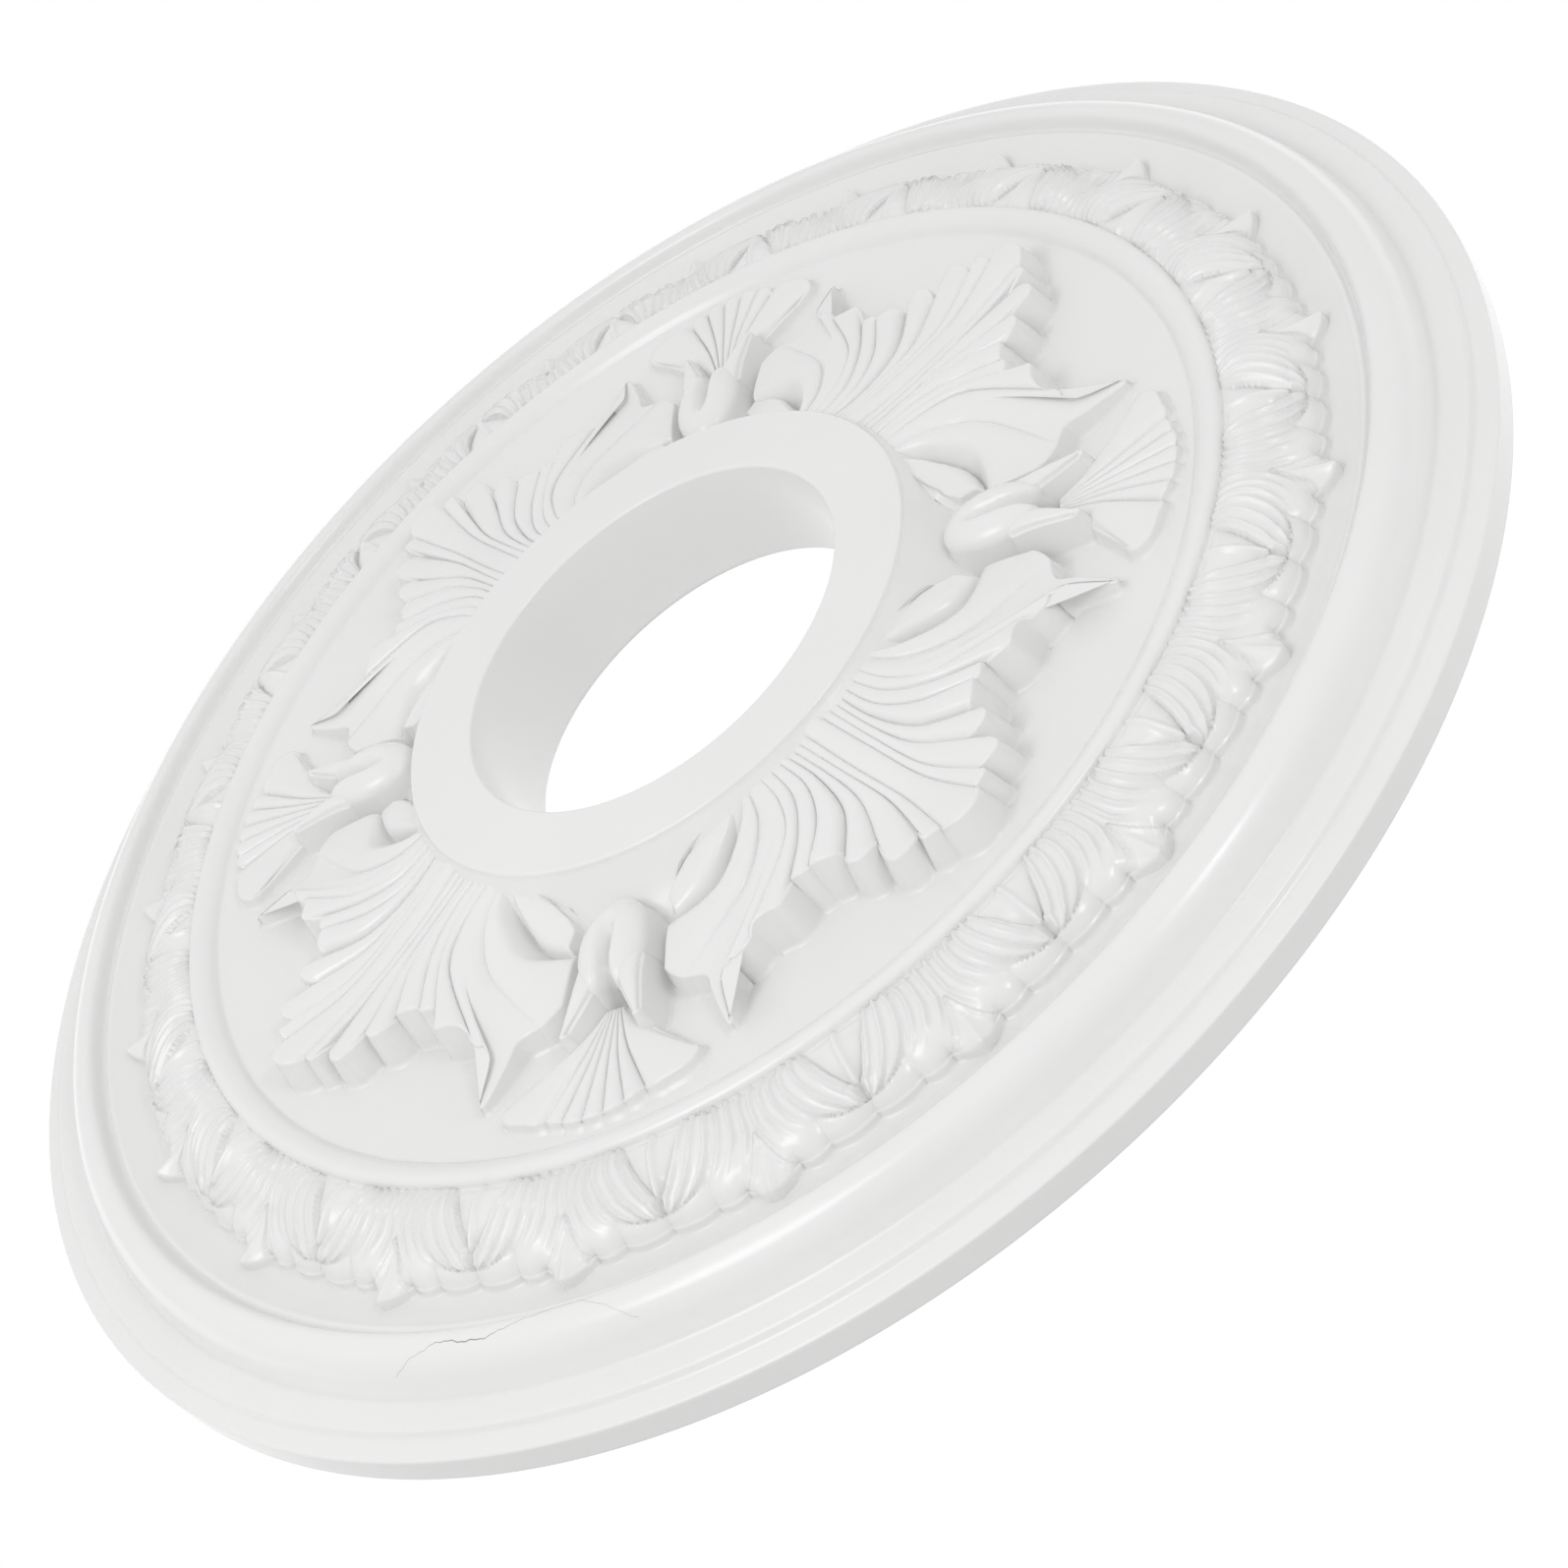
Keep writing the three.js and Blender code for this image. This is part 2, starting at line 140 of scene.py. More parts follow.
# The wall at the band's outer edge: how far out, and the share of the way down to the valley.
BAND_WALL = ((0.25, 0.06), (0.42, 0.2), (0.45, 0.4), (0.5, 0.6), (0.6, 0.8), (0.8, 0.95), (1.4, 1.04))

# One small leaf of the band, in degrees from its middle and shares of the way down its slope: a pointed
# blade, loops of fine ridges round it, two lobes at each side, and half of a smooth pointed dart.
BAND_HALF = 180.0 / BAND_UNITS
LANCET_HALF = 2.9
LANCET_TIP = 0.68
LOOP_HALF = 5.7
LOOP_WIDEST = 0.35
LOOP_TIP = 0.83
LOOP_RIDGES = 3
LOBE_SPLIT = 3.9
DART_HALF = 2.1
DART_START = 0.52
OUTER_RIDGES = 3
LOBE_SCALLOP = 1.1

# The hairline crack on the round moulding: degrees round the rose and millimetres from its middle.
CRACK = ((211.0, 189.5), (213.5, 186.0), (215.2, 184.3), (217.0, 184.8), (219.0, 184.8), (221.0, 183.2),
         (224.0, 181.6), (226.0, 181.5), (228.0, 184.3), (230.5, 189.0))
CRACK_WIDEST = 217.0
CRACK_LIFT = 0.05
CRACK_EDGE_LIFT = -0.04

# The camera that took the picture, as a place and the directions of its right and top.
CAMERA_PLACE = (-0.1172, 0.6288, -0.4220)
CAMERA_RIGHT = (0.6554, 0.5167, 0.5508)
CAMERA_UP = (0.7404, -0.2958, -0.6035)
CAMERA_FOCUS_PX = 3226.0
CAMERA_SHIFT = (0.0004, 0.0018)
PICTURE_PX = 1595.0

# The surround is dimmer towards this direction, which darkens the near outer wall and the hole's wall.
DIM_DIRECTION = (-0.3, 0.5, 0.8)
# Each softbox: its name, place, side and power.
SOFTBOXES = (
    ("main_softbox", (-0.546, 0.204, -0.9), 0.4, 2.2),
    ("side_softbox", (0.363, 0.78, -0.7), 0.16, 1.0),
)
FLOOR_HALF_SIDE = 60.0
FLOOR_HEIGHT = -1.6


class RoseSizes(bpy.types.PropertyGroup):
    """Sizes that change how deep the carving is cut."""

    band_relief: bpy.props.FloatProperty(
        name="Band relief", description="How deep the small leaves of the band are cut, against the drawing",
        default=1.0, min=0.2, max=2.0)
    crack_width: bpy.props.FloatProperty(
        name="Crack width", description="Width of the hairline crack at its middle",
        default=0.00045, min=0.0, max=0.002, unit="LENGTH")


class RoseFinish(bpy.types.PropertyGroup):
    """Colour and gloss of the casting, and the light on it."""

    skin_colour: bpy.props.FloatVectorProperty(
        name="Skin", description="Colour of the white skin",
        default=(0.80, 0.80, 0.795), size=3, min=0.0, max=1.0, subtype="COLOR")
    skin_roughness: bpy.props.FloatProperty(
        name="Roughness", description="How matt the skin is", default=0.24, min=0.05, max=1.0)
    grain_height: bpy.props.FloatProperty(
        name="Grain", description="Height of the fine unevenness of the skin",
        default=0.00006, min=0.0, max=0.001, unit="LENGTH")
    # Painted shadow: the colour given to the crack ribbon in place of the shade inside the gap.
    crack_shadow_colour: bpy.props.FloatVectorProperty(
        name="Crack", description="Colour of the shadow in the crack",
        default=(0.30, 0.30, 0.30), size=3, min=0.0, max=1.0, subtype="COLOR")
    surround: bpy.props.FloatProperty(
        name="Surround", description="Strength of the white surround", default=1.25, min=0.0, max=3.0)
    dim_side: bpy.props.FloatProperty(
        name="Dim side", description="Strength of the surround behind the near edge",
        default=0.67, min=0.0, max=3.0)


class Wire:
    """An output of a node, with arithmetic that adds Math nodes."""

    def __init__(self, tree, socket):
        self.tree = tree
        self.socket = socket

    def maths(self, operation, other, flipped=False):
        values = [other, self] if flipped else [self, other]
        node = self.tree.nodes.new("ShaderNodeMath")
        node.operation = operation
        for slot, value in zip(node.inputs, values):
            feed(self.tree, slot, value)
        return Wire(self.tree, node.outputs[0])

    def __add__(self, other):
        return self.maths("ADD", other)

    def __sub__(self, other):
        return self.maths("SUBTRACT", other)

    def __mul__(self, other):
        return self.maths("MULTIPLY", other)

    def __radd__(self, other):
        return self.maths("ADD", other, True)


def feed(tree, slot, value):
    if isinstance(value, Wire):
        tree.links.new(value.socket, slot)
    else:
        slot.default_value = value


def add_node(tree, kind, settings=None, output=0, **inputs):
    node = tree.nodes.new(kind)
    for name, value in (settings or {}).items():
        setattr(node, name, value)
    for name, value in inputs.items():
        feed(tree, node.inputs[name.replace("_", " ")], value)
    return Wire(tree, node.outputs[output])


def curve_points(points, steps):
    """Evenly spaced places on a smooth curve through the given points."""
    points = np.asarray(points, float)
    last = len(points) - 1
    place = np.linspace(0, last, steps + 1)
    part = np.minimum(place.astype(int), last - 1)
    share = (place - part)[:, None]
    before = points[np.maximum(part - 1, 0)]
    start = points[part]
    end = points[part + 1]
    after = points[np.minimum(part + 2, last)]
    leave = (end - before) / 2
    reach = (after - start) / 2
    cube = 2 * start - 2 * end + leave + reach
    square = -3 * start + 3 * end - 2 * leave - reach
    return ((cube * share + square) * share + leave) * share + start


def dish_height(radius):
    """Height of the plain dish between the collar and the bead."""
    radius = np.asarray(radius, float)
    inner = DISH_HEIGHT + (np.clip(DISH_RADIUS - radius, 0, None) / 22.5) ** 2.4 * 14.0
    edge, top = BEAD[0]
    outer = DISH_HEIGHT + (top - DISH_HEIGHT) * (
        np.clip(radius - DISH_RADIUS, 0, None) / (edge - DISH_RADIUS)) ** 1.7
    return np.minimum(np.where(radius < DISH_RADIUS, inner, outer), COLLAR_HEIGHT - 0.6)


def to_room(points):
    """From carving up in millimetres to hung face down in metres."""
    points = np.asarray(points, float) * MM
    return points * np.array([1.0, -1.0, -1.0])


def turned(points, angle):
    """Turns points round the middle of the rose."""
    c, s = math.cos(angle), math.sin(angle)
    turn = np.array([[c, s, 0], [-s, c, 0], [0, 0, 1]])
    return np.asarray(points, float) @ turn


def quads(index):
    """Faces between neighbouring points of a grid of point numbers."""
    return np.stack([index[:-1, :-1], index[1:, :-1], index[1:, 1:], index[:-1, 1:]], -1).reshape(-1, 4)


def grid_faces(rows, columns, wrap_rows=False, wrap_columns=False):
    """Faces of a grid of points held row by row."""
    index = np.arange(rows * columns).reshape(rows, columns)
    if wrap_rows:
        index = np.vstack([index, index[:1]])
    if wrap_columns:
        index = np.hstack([index, index[:, :1]])
    return quads(index)


def finish_piece(name, points, faces, material):
    """Makes a smooth piece of the casting from points in millimetres."""
    mesh = bpy.data.meshes.new(name)
    mesh.from_pydata(to_room(points).tolist(), [], faces.tolist())
    mesh.validate()
    mesh.shade_smooth()
    mesh.materials.append(material)
    piece = bpy.data.objects.new(name, mesh)
    bpy.context.scene.collection.objects.link(piece)
    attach(piece, "root")
    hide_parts(NODE)
    return piece


def skin_material():
    """Smooth white skin with faint unevenness in its gloss and tone."""
    material = bpy.data.materials.get("white_skin")
    if material:
        return material
    finish = bpy.context.scene.rose_finish
    material = bpy.data.materials.new("white_skin")
    material.use_nodes = True
    tree = material.node_tree
    shader = tree.nodes["Principled BSDF"]
    place = add_node(tree, "ShaderNodeTexCoord", output=3)
    cloud = add_node(tree, "ShaderNodeTexNoise", Vector=place, Scale=18.0, Detail=3.0)
    fine = add_node(tree, "ShaderNodeTexNoise", Vector=place, Scale=900.0, Detail=2.0)
    waves = add_node(tree, "ShaderNodeTexNoise", Vector=place, Scale=60.0, Detail=2.0)
    light = [c * 1.03 for c in finish.skin_colour] + [1.0]
    dark = [c * 0.97 for c in finish.skin_colour] + [1.0]
    tone = tree.nodes.new("ShaderNodeMix")
    tone.data_type = "RGBA"
    feed(tree, tone.inputs[0], cloud)
    feed(tree, tone.inputs[6], dark)
    feed(tree, tone.inputs[7], light)
    feed(tree, shader.inputs["Base Color"], Wire(tree, tone.outputs[2]))
    feed(tree, shader.inputs["Roughness"], finish.skin_roughness + (cloud - 0.5) * 0.12)
    bump = add_node(tree, "ShaderNodeBump", Height=fine * 0.25 + waves, Distance=finish.grain_height,
                    Strength=1.0)
    feed(tree, shader.inputs["Normal"], bump)
    shader.inputs["IOR"].default_value = 1.5
    return material


def arc(centre, radius, start, end, steps):
    """Points on an arc, its angles in degrees."""
    angles = np.radians(np.linspace(start, end, steps + 1))
    return [(centre[0] + radius * math.cos(a), centre[1] + radius * math.sin(a)) for a in angles]


def turned_profile():
    """The outline that is turned round the middle, from the hole's back edge over the face to the back."""
    points = [(HOLE_RADIUS_BACK, 0.6), (HOLE_RADIUS_BACK, 1.2), (51.6, 10.0), (51.9, 20.0)]
    points += arc((HOLE_RADIUS_FRONT + 0.8, COLLAR_HEIGHT - 0.8), 0.8, 180, 90, 5)
    points += [(r, COLLAR_HEIGHT) for r in np.linspace(54, 69, 7)]
    points += arc((COLLAR_RADIUS - 0.8, COLLAR_HEIGHT - 0.8), 0.8, 90, 0, 5)
    points += [(r, float(dish_height(r))) for r in (71.4, 71.7, 72.1, 72.6, 73.2, 74, 75, 76.2, 77.6)]
    points += [(r, float(dish_height(r))) for r in np.linspace(79.5, 139.0, 26)]
    points += curve_points(BEAD, 18).tolist()
    points += [(147.5, 20.0), (156.0, 15.8), (163.0, 12.6)]
    points += curve_points(VALLEY, 8).tolist() + list(THIN_LINE)
    points += curve_points(ROUND_MOULDING, 26).tolist() + list(RIM)
    points += arc((OUTER_RADIUS - 0.6, 6.9), 0.6, 80, 0, 4)
    points += [(OUTER_RADIUS, 6.0), (OUTER_RADIUS, 0.8), (OUTER_RADIUS, 0.4)]
    points += [(OUTER_RADIUS - 0.4, 0.0), (OUTER_RADIUS - 0.9, 0.0), (160.0, 0.0), (110.0, 0.0), (70.0, 0.0)]
    points += [(HOLE_RADIUS_BACK + 1.1, 0.0), (HOLE_RADIUS_BACK + 0.5, 0.0)]
    return np.array(points)


def turned_casting(material):
    """The plain turned body under the carving."""
    profile = turned_profile()
    angles = np.linspace(0, 2 * math.pi, TURN_STEPS, endpoint=False)
    count = len(profile)
    points = np.empty((count, TURN_STEPS, 3))
    points[..., 0] = profile[:, None, 0] * np.cos(angles)
    points[..., 1] = profile[:, None, 0] * np.sin(angles)
    points[..., 2] = profile[:, None, 1]
    faces = grid_faces(count, TURN_STEPS, wrap_rows=True, wrap_columns=True)
    return finish_piece("turned_casting", points.reshape(-1, 3), faces, material)


def bowed(crest, crease, shares):
    """Lines between a crest and a crease, so that the lobe has a round back and a round end."""
    along = np.gradient(crest[:, :2], axis=0)
    along /= np.linalg.norm(along, axis=1)[:, None]
    apart = crease[:, :2] - crest[:, :2]
    lengthwise = np.sum(apart * along, axis=1)[:, None]
    sideways = apart - lengthwise * along
    lines = []
    for share in shares:
        angle = share * math.pi / 2
        flat = crest[:, :2] + sideways * math.sin(angle) + along * lengthwise * (1 - math.cos(angle))
        height = crest[:, 2] + (crease[:, 2] - crest[:, 2]) * share ** 2.2
        lines.append(np.column_stack([flat, height]))
    return lines


def carve_lines(lines, steps, strips):
    """Fine lines side by side, filled in between the given crests and creases."""
    drawn = [curve_points(points, steps) for _, *points in lines]
    result = [drawn[0]]
    steps_between = np.arange(1, strips + 1) / strips
    for i in range(1, len(lines)):
        before, after = lines[i - 1][0], lines[i][0]
        if before == "crest" and after == "crease":
            result += bowed(drawn[i - 1], drawn[i], steps_between)
        elif before == "crease" and after == "crest":
            result += bowed(drawn[i], drawn[i - 1], 1 - steps_between)
        else:
            first = drawn[i - 2] if before == "plain" else drawn[i - 1]
            last = drawn[i + 1] if after == "plain" and i + 1 < len(lines) else drawn[i]
            for s in steps_between:
                leave = (drawn[i] - first) / 2
                reach = (last - drawn[i - 1]) / 2
                result.append(drawn[i - 1] * (2 * s ** 3 - 3 * s ** 2 + 1) + leave * (s ** 3 - 2 * s ** 2 + s)
                              + drawn[i] * (3 * s ** 2 - 2 * s ** 3) + reach * (s ** 3 - s ** 2))
    return result


def mirrored(lines):
    """The same lines on the other side of the middle."""
    flip = np.array([-1.0, 1.0, 1.0])
    return [line * flip for line in reversed(lines)]


def sheet_mesh(lines, closed_root):
    """A carved sheet with walls that fall from its edge to the dish."""
    grid = np.array(lines)
    rows, columns = grid.shape[:2]
    index = np.arange(rows * columns).reshape(rows, columns)
    edge = list(index[0, :]) + list(index[1:, -1]) + list(index[-1, :-1][::-1])
    if closed_root:
        edge += list(index[1:-1, 0][::-1])
    top = grid.reshape(-1, 3)
    rim = top[edge]
    if closed_root:
        before, after = np.roll(rim, 1, axis=0), np.roll(rim, -1, axis=0)
    else:
        before, after = np.vstack([rim[:1], rim[:-1]]), np.vstack([rim[1:], rim[-1:]])
    outward = np.column_stack([before[:, 1] - after[:, 1], after[:, 0] - before[:, 0]])
    outward /= np.maximum(np.linalg.norm(outward, axis=1), 1e-9)[:, None]
    foot = rim[:, :2] + outward * 3.0
    ground = dish_height(np.linalg.norm(foot, axis=1))
    drop = np.maximum(rim[:, 2] - ground, 0.5)
    walls = []
    for degrees in (25, 50, 75):
        a = math.radians(degrees)
        walls.append((TOP_ROUND * math.sin(a), TOP_ROUND * (1 - math.cos(a))))
    fall = drop - FOOT_ROUND
    for s in (0.0, 0.33, 0.66, 1.0):
        down = TOP_ROUND + (fall - TOP_ROUND) * s
        walls.append((TOP_ROUND + WALL_SLOPE * (down - TOP_ROUND), down))
    base = TOP_ROUND + WALL_SLOPE * (fall - TOP_ROUND)
    for degrees in (30, 60, 90):
        a = math.radians(degrees)
        walls.append((base + FOOT_ROUND * (1 - math.cos(a)), fall + FOOT_ROUND * math.sin(a) + 0.02))
    walls.append((base + FOOT_ROUND + 0.4, drop + 0.4))
    rings = [rim]
    for reach, down in walls:
        reach = np.broadcast_to(reach, drop.shape)
        flat = rim[:, :2] + outward * reach[:, None]
        rings.append(np.column_stack([flat, rim[:, 2] - down]))
    skirt = np.array(rings[1:])
    points = np.vstack([top, skirt.reshape(-1, 3)])
    faces = [grid_faces(rows, columns)]
    count = len(edge)
    ring_index = np.vstack([np.array(edge)[None, :],
                            len(top) + np.arange(len(skirt) * count).reshape(len(skirt), count)])
    if closed_root:
        ring_index = np.hstack([ring_index, ring_index[:, :1]])
    faces.append(quads(ring_index)[:, [0, 3, 2, 1]])
    return points, np.vstack(faces)


def joined(parts):
    """One mesh from several."""
    points, faces, start = [], [], 0
    for part_points, part_faces in parts:
        points.append(part_points)
        faces.append(part_faces + start)
        start += len(part_points)
    return np.vstack(points), np.vstack(faces)


def leaf_mesh():
    """A whole leaf with a scroll at each side, from its half."""
    half = carve_lines(LEAF_LINES, 44, 6)
    return sheet_mesh(mirrored(half)[:-1] + half, False)


def pod_mesh():
    """A bulging pod, creased into two lobes towards its outer end."""
    turns = np.linspace(0, 2 * math.pi, 56, endpoint=False)
    rings = []
    for angle in np.linspace(0, 90, 15):
        a = math.radians(angle)
        rings.append((math.sin(a) ** 0.85, POD_SHOULDER + (POD_TOP - POD_SHOULDER) * math.cos(a) ** 0.8))
    rings += POD_SIDE
    grid = []
    for spread, height in rings:
        grid.append(np.column_stack([POD_HALF_WIDTH * spread * np.cos(turns),
                                     POD_CENTRE + POD_HALF_LENGTH * spread * np.sin(turns),
                                     np.full(len(turns), height)]))
    grid = np.array(grid)
    across, out = grid[..., 0].copy(), grid[..., 1].copy()
    grid[..., 2] -= POD_CREASE * np.exp(-(across / 1.5) ** 2) * smooth(83.0, 91.0, out)
    grid[..., 1] -= POD_NOTCH * np.exp(-(across / 2.2) ** 2) * smooth(96.0, 104.5, out)
    rows, columns = grid.shape[:2]
    return grid.reshape(-1, 3), grid_faces(rows, columns, wrap_columns=True)


def palmette_mesh():
    """The fan, a petal at each side, and the pod."""
    half = carve_lines(FAN_LINES, 24, 6)
    fan = sheet_mesh(mirrored(half)[:-1] + half, True)
    petal = carve_lines(PETAL_LINES, 16, 5)
    right = sheet_mesh(petal, True)
    left = sheet_mesh(mirrored(petal), True)
    return joined([fan, right, left, pod_mesh()])


def ridge(place, width):
    """Thin ridges, one at the middle of each whole step of place."""
    return np.exp(-((place - np.floor(place) - 0.5) / width) ** 2)


def smooth(low, high, value):
    """Rises from 0 to 1 between low and high, with no kink."""
    share = np.clip((value - low) / (high - low), 0, 1)
    return share * share * (3 - 2 * share)


def band_relief(turn, out):
    """Height of one small leaf above its bed, and how far its lobes reach, by degrees and share of width."""
    side = np.abs(turn)
    lancet = LANCET_HALF * np.clip(1 - (out / LANCET_TIP) ** 1.7, 0, 1) ** 0.8
    over = np.clip((out - LOOP_WIDEST) / (LOOP_TIP - LOOP_WIDEST), 0, 1)
    under = np.clip((LOOP_WIDEST - out) / LOOP_WIDEST, 0, 1)
    loop = LOOP_HALF * np.sqrt(1 - over ** 2) - 1.0 * under ** 2
    dart = BAND_HALF - DART_HALF * np.clip((out - DART_START) / (1 - DART_START), 0, 1)
    in_lancet = side < lancet
    in_loop = (side >= lancet) & (side < loop)
    in_dart = side > dart
    across = side / np.maximum(lancet, 0.05)
    deep = smooth(0.0, 0.35, out)
    lancet_face = -0.5 - 1.7 * deep * np.clip(across, 0, 1) ** 1.5 + 0.9 * np.exp(-(side / 0.35) ** 2)
    nested = (side - lancet) / np.maximum(loop - lancet, 0.05)
    loop_face = 0.7 * np.clip(np.sin(math.pi * np.clip(nested, 0, 1)), 0, 1) ** 0.5
    loop_face = loop_face + 1.1 * ridge(nested * LOOP_RIDGES, 0.17) * smooth(0.0, 0.12, out) - 0.6
    closing = np.exp(-(side / 0.32) ** 2) * smooth(LANCET_TIP - 0.02, LANCET_TIP + 0.04, out)
    loop_face = loop_face - 1.5 * closing
    lobe_edge = np.where(side < LOBE_SPLIT, 0, LOBE_SPLIT)
    lobe_end = np.where(side < LOBE_SPLIT, LOBE_SPLIT, dart)
    middle = (side - lobe_edge) / np.maximum(lobe_end - lobe_edge, 0.05)
    swell = np.clip(4 * middle * (1 - middle), 0, 1)
    lobes = 1.3 * swell ** 0.8 - 1.0
    fine = (side - loop) / np.maximum(dart - loop, 0.05)
    lines = 1.1 * ridge(fine * OUTER_RIDGES, 0.18) - 0.5
    mix = smooth(0.5, 0.8, out)
    between = lobes * mix + lines * (1 - mix)
    dart_depth = np.clip((side - dart) / 0.5, 0, 1)
    face = np.where(in_loop, loop_face, between)
    face = np.where(in_lancet, lancet_face, face)
    face = np.where(in_dart, -0.3 - 1.1 * dart_depth + 0.7 * np.exp(-((BAND_HALF - side) / 0.4) ** 2), face)
    reach = np.where(in_dart, 0.55, swell ** 0.7)
    return face, reach


def band_mesh(start, units):
    """Part of the ring of small leaves, on its rounded slope."""
    across, out = 150, 56
    places = np.linspace(0, units, units * across + 1)
    share = np.linspace(0, 1, out + 1) ** 0.95
    turn = (places - np.floor(places) - 0.5) * 2 * BAND_HALF
    face, reach = band_relief(turn[:, None], share[None, :])
    face = face * smooth(0.0, 0.06, share)[None, :] * bpy.context.scene.rose_sizes.band_relief
    lobe = curve_points(LOBE_SLOPE, out)[:, None]
    dart = curve_points(DART_SLOPE, out)[:, None]
    near = np.clip((BAND_HALF - np.abs(turn)) / DART_HALF, 0, 1)
    pull = (1 - near ** 1.3)[None, :, None]
    path = (lobe * (1 - pull) + dart * pull).transpose(1, 0, 2)
    along = np.gradient(path, axis=1)
    along /= np.linalg.norm(along, axis=2)[:, :, None]
    scallop = (reach[:, -1] - 1) * LOBE_SCALLOP
    radius = path[:, :, 0] - along[:, :, 1] * face
    height = path[:, :, 1] + along[:, :, 0] * face
    ends = np.clip((share - 0.8) / 0.2, 0, 1)[None, :] * scallop[:, None]
    radius = radius + along[:, :, 0] * ends
    height = height + along[:, :, 1] * ends * 0.4
    angle = start + (places * 2 * math.pi / BAND_UNITS)[:, None]
    grid = np.stack([radius * np.cos(angle), radius * np.sin(angle), height], -1)
    drop = height[:, -1] - VALLEY_FLOOR
    skirt = []
    for push, part in BAND_WALL:
        r = radius[:, -1] + push
        low = height[:, -1] - drop * part
        skirt.append(np.stack([r * np.cos(angle[:, 0]), r * np.sin(angle[:, 0]), low], -1))
    grid = np.concatenate([grid, np.stack(skirt, 1)], 1)
    rows, columns = grid.shape[:2]
    return grid.reshape(-1, 3), grid_faces(rows, columns)[:, ::-1]


class ROSE_OT_turned_casting(bpy.types.Operator):
    """Adds the turned body: hole, collar, dish, bead, valley, round moulding, step, rim and back"""

    bl_idname = "rose.turned_casting"
    bl_label = "Turned casting"

    def execute(self, context):
        turned_casting(skin_material())
        return {"FINISHED"}


class ROSE_OT_leaves(bpy.types.Operator):
    """Adds the four large leaves with their scrolls"""

    bl_idname = "rose.leaves"
    bl_label = "Leaves"

    def execute(self, context):
        points, faces = leaf_mesh()
        for k in range(4):
            finish_piece(f"leaf_{k + 1}", turned(points, k * math.pi / 2), faces, skin_material())
        return {"FINISHED"}


class ROSE_OT_palmettes(bpy.types.Operator):
    """Adds the four palmettes between the leaves"""

    bl_idname = "rose.palmettes"
    bl_label = "Palmettes"

    def execute(self, context):
        points, faces = palmette_mesh()
        for k in range(4):
            angle = (k + 0.5) * math.pi / 2
            finish_piece(f"palmette_{k + 1}", turned(points, angle), faces, skin_material())
        return {"FINISHED"}


class ROSE_OT_leaf_band(bpy.types.Operator):
    """Adds the ring of small leaves"""

    bl_idname = "rose.leaf_band"
    bl_label = "Leaf band"

    def execute(self, context):
        third = BAND_UNITS // 3
        for k in range(3):
            points, faces = band_mesh(BAND_START + k * math.tau / 3, third)
            finish_piece(f"leaf_band_{k + 1}", points, faces, skin_material())
        return {"FINISHED"}


def crack_mesh(width):
    """A thin dark ribbon of painted shadow, raised a little, standing in for the shade inside the hairline
    crack; it follows the round moulding and is widest near its middle.
    """
    turn, radius = curve_points(CRACK, 240).T
    along = np.linspace(0, 1, len(turn))
    radius = radius + 0.14 * np.sin(61 * along) + 0.08 * np.sin(143 * along + 1)
    swell = 0.3 + 0.7 * np.exp(-((turn - CRACK_WIDEST) / 2.6) ** 2)
    half = width / 2 * swell * np.sin(math.pi * along) ** 0.4
    profile = turned_profile()
    face = profile[(profile[:, 0] > 179.0) & (profile[:, 1] > 7.0)]
    rows = []
    for share, lift in ((-1, CRACK_EDGE_LIFT), (0, CRACK_LIFT), (1, CRACK_EDGE_LIFT)):
        r = radius + half * share
        height = np.interp(r, face[:, 0], face[:, 1]) + lift
        angle = np.radians(turn)
        rows.append(np.column_stack([r * np.cos(angle), r * np.sin(angle), height]))
    return np.vstack(rows), grid_faces(3, len(turn))


class ROSE_OT_crack(bpy.types.Operator):
    """Adds the hairline crack on the round moulding, as a dark ribbon of painted shadow"""

    bl_idname = "rose.crack"
    bl_label = "Crack"

    def execute(self, context):
        # The crack's darkness is painted shadow: the ribbon is coloured like the shade inside the gap.
        colour = context.scene.rose_finish.crack_shadow_colour
        material = bpy.data.materials.new("crack_shadow")
        material.use_nodes = True
        tree = material.node_tree
        shader = tree.nodes["Principled BSDF"]
        place = add_node(tree, "ShaderNodeTexCoord", output=3)
        grain = add_node(tree, "ShaderNodeTexNoise", Vector=place, Scale=700.0, Detail=2.0)
        tone = tree.nodes.new("ShaderNodeMix")
        tone.data_type = "RGBA"
        feed(tree, tone.inputs[0], grain)
        feed(tree, tone.inputs[6], [c * 0.7 for c in colour] + [1.0])
        feed(tree, tone.inputs[7], [c * 1.3 for c in colour] + [1.0])
        feed(tree, shader.inputs["Base Color"], Wire(tree, tone.outputs[2]))
        shader.inputs["Roughness"].default_value = 0.9
        points, faces = crack_mesh(context.scene.rose_sizes.crack_width / MM)
        finish_piece("crack", points, faces, material)
        return {"FINISHED"}


def aim(thing, place, target):
    """Puts a thing in its place, facing the target."""
    thing.location = place
    thing.rotation_euler = (Vector(target) - Vector(place)).to_track_quat("-Z", "Y").to_euler()


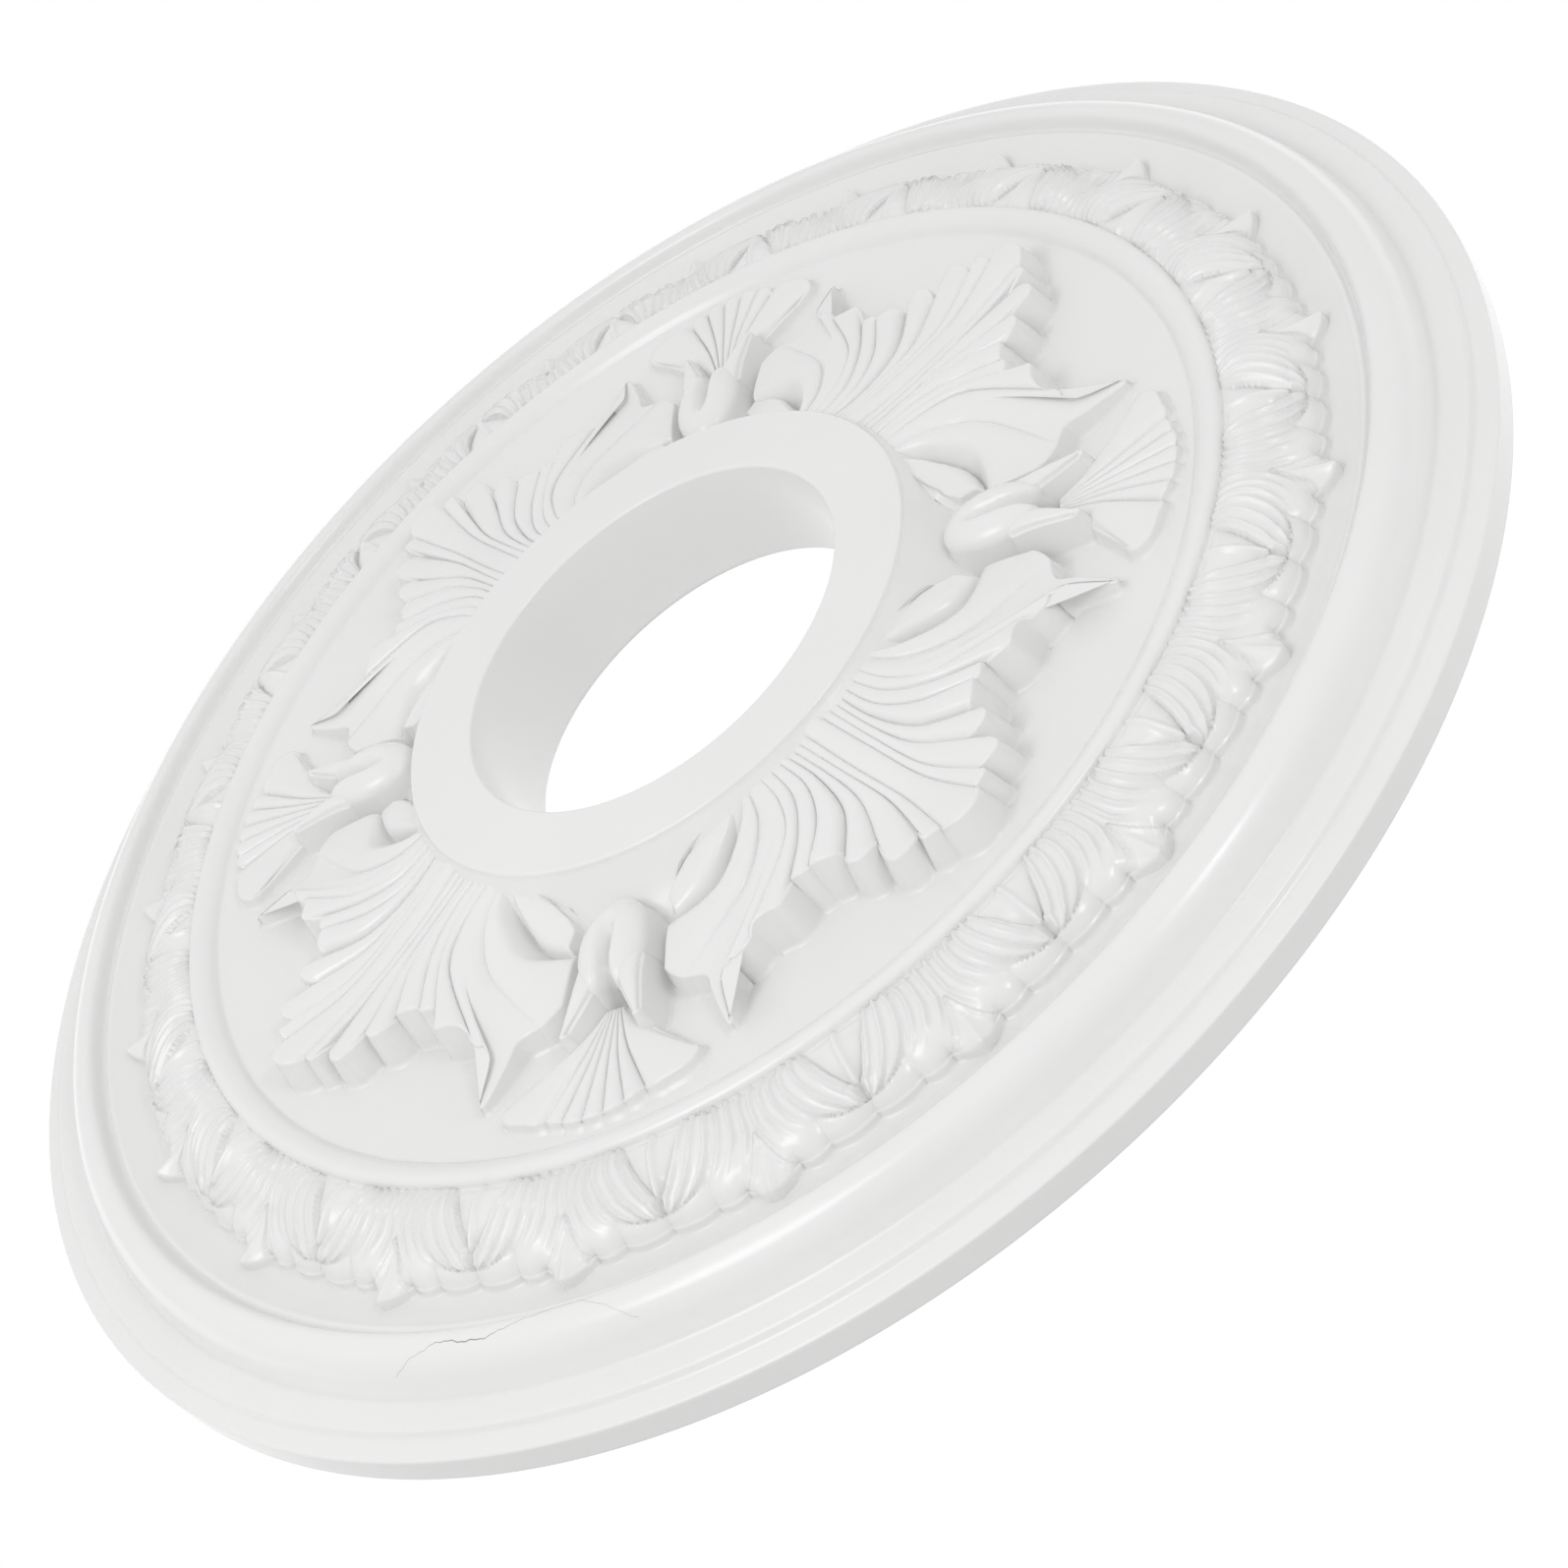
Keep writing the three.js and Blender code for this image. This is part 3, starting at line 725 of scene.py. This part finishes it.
class ROSE_OT_stage(bpy.types.Operator):
    """Adds the floor, the lights, the white surround and the camera"""

    bl_idname = "rose.stage"
    bl_label = "Stage"

    def execute(self, context):
        scene = context.scene
        finish = scene.rose_finish
        world = bpy.data.worlds.new("white_surround")
        scene.world = world
        world.use_nodes = True
        tree = world.node_tree
        surround = tree.nodes["Background"]
        surround.inputs["Color"].default_value = (1.0, 1.0, 1.0, 1.0)
        surround.inputs["Strength"].default_value = finish.surround
        dim = tree.nodes.new("ShaderNodeBackground")
        dim.inputs["Color"].default_value = (1.0, 1.0, 1.0, 1.0)
        dim.inputs["Strength"].default_value = finish.dim_side
        toward = tree.nodes.new("ShaderNodeVectorMath")
        toward.operation = "DOT_PRODUCT"
        feed(tree, toward.inputs[0], add_node(tree, "ShaderNodeTexCoord"))
        feed(tree, toward.inputs[1], DIM_DIRECTION)
        fade = add_node(tree, "ShaderNodeMapRange", {"interpolation_type": "SMOOTHSTEP"},
                        Value=Wire(tree, toward.outputs[1]), From_Min=0.0, From_Max=0.7)
        glow = tree.nodes.new("ShaderNodeMixShader")
        feed(tree, glow.inputs[0], fade)
        tree.links.new(surround.outputs[0], glow.inputs[1])
        tree.links.new(dim.outputs[0], glow.inputs[2])
        seen = add_node(tree, "ShaderNodeBackground", Color=(1.0, 1.0, 1.0, 1.0), Strength=1.0)
        path = add_node(tree, "ShaderNodeLightPath")
        mix = tree.nodes.new("ShaderNodeMixShader")
        feed(tree, mix.inputs[0], path)
        tree.links.new(glow.outputs[0], mix.inputs[1])
        feed(tree, mix.inputs[2], seen)
        tree.links.new(mix.outputs[0], tree.nodes["World Output"].inputs["Surface"])
        for name, place, size, power in SOFTBOXES:
            light = bpy.data.lights.new(name, "AREA")
            light.size = size
            light.energy = power
            lamp = bpy.data.objects.new(name, light)
            scene.collection.objects.link(lamp)
            aim(lamp, place, (0.0, 0.0, 0.0))
        mesh = bpy.data.meshes.new("floor")
        side, low = FLOOR_HALF_SIDE, FLOOR_HEIGHT
        mesh.from_pydata([(-side, -side, low), (side, -side, low), (side, side, low), (-side, side, low)],
                         [], [(0, 1, 2, 3)])
        pale = bpy.data.materials.new("pale_floor")
        pale.use_nodes = True
        shader = pale.node_tree.nodes["Principled BSDF"]
        shader.inputs["Base Color"].default_value = (0.95, 0.95, 0.95, 1.0)
        shader.inputs["Roughness"].default_value = 0.8
        mesh.materials.append(pale)
        floor = bpy.data.objects.new("floor", mesh)
        scene.collection.objects.link(floor)
        lens = bpy.data.cameras.new("camera")
        lens.sensor_width = 36.0
        lens.lens = CAMERA_FOCUS_PX / PICTURE_PX * lens.sensor_width
        lens.shift_x, lens.shift_y = CAMERA_SHIFT
        camera = bpy.data.objects.new("camera", lens)
        scene.collection.objects.link(camera)
        right, up = Vector(CAMERA_RIGHT), Vector(CAMERA_UP)
        back = right.cross(up)
        camera.matrix_world = Matrix.LocRotScale(
            Vector(CAMERA_PLACE), Matrix((right, up, back)).transposed().to_quaternion(), None)
        scene.camera = camera
        scene.view_settings.view_transform = "Standard"
        return {"FINISHED"}


class ROSE_PT_panel(bpy.types.Panel):
    """Lists the pieces of the ceiling rose"""

    bl_idname = "ROSE_PT_panel"
    bl_label = "Ceiling rose"
    bl_space_type = "VIEW_3D"
    bl_region_type = "UI"
    bl_category = "Rose"

    def draw(self, context):
        for group in (context.scene.rose_sizes, context.scene.rose_finish):
            for name in group.__annotations__:
                self.layout.prop(group, name)
        for operator in OPERATORS:
            self.layout.operator(operator.bl_idname)


OPERATORS = (ROSE_OT_turned_casting, ROSE_OT_leaves, ROSE_OT_palmettes, ROSE_OT_leaf_band, ROSE_OT_crack,
             ROSE_OT_stage)
CLASSES = (RoseSizes, RoseFinish) + OPERATORS + (ROSE_PT_panel,)


def register():
    for item in CLASSES:
        bpy.utils.register_class(item)
    bpy.types.Scene.rose_sizes = bpy.props.PointerProperty(type=RoseSizes)
    bpy.types.Scene.rose_finish = bpy.props.PointerProperty(type=RoseFinish)


def unregister():
    del bpy.types.Scene.rose_finish
    del bpy.types.Scene.rose_sizes
    for item in reversed(CLASSES):
        bpy.utils.unregister_class(item)


def main():
    register()
    for operator in OPERATORS:
        group, name = operator.bl_idname.split(".")
        getattr(getattr(bpy.ops, group), name)()


if __name__ == "__main__":
    main()
